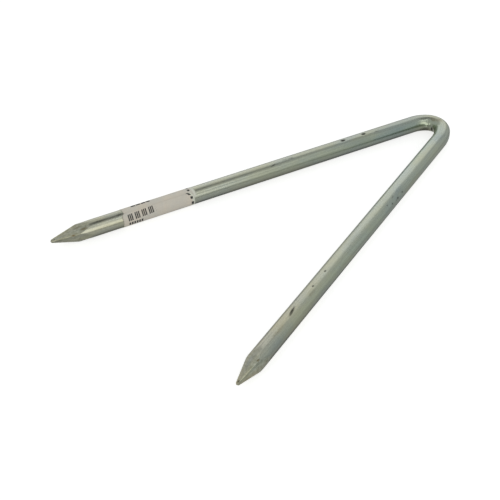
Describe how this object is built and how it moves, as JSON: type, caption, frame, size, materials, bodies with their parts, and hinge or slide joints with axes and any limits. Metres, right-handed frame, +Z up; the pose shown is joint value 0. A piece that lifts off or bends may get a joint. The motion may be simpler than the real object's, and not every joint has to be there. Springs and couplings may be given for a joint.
{
  "type": "forked nail",
  "caption": "Forked nail or V-shaped staple: round zinc-plated steel bar bent hard in the middle, a faceted point on each end, and a paper sticker wrapped round a leg.",
  "frame": {"origin": "middle of the bounding box in plan, on the surface that the nail lies flat on", "axes": "+X along the V's centre line, from the bend towards the points; +Y towards the leg with no sticker; +Z up, square to the flat of the V"},
  "size_m": [0.2009, 0.117, 0.0082],
  "materials": {
    "zinc_plated_steel": "satin",
    "label_paper": "matte"
  },
  "bodies": {
    "root": {"staple_bar": "zinc_plated_steel", "paper_label": "label_paper"}
  },
  "joints": []
}
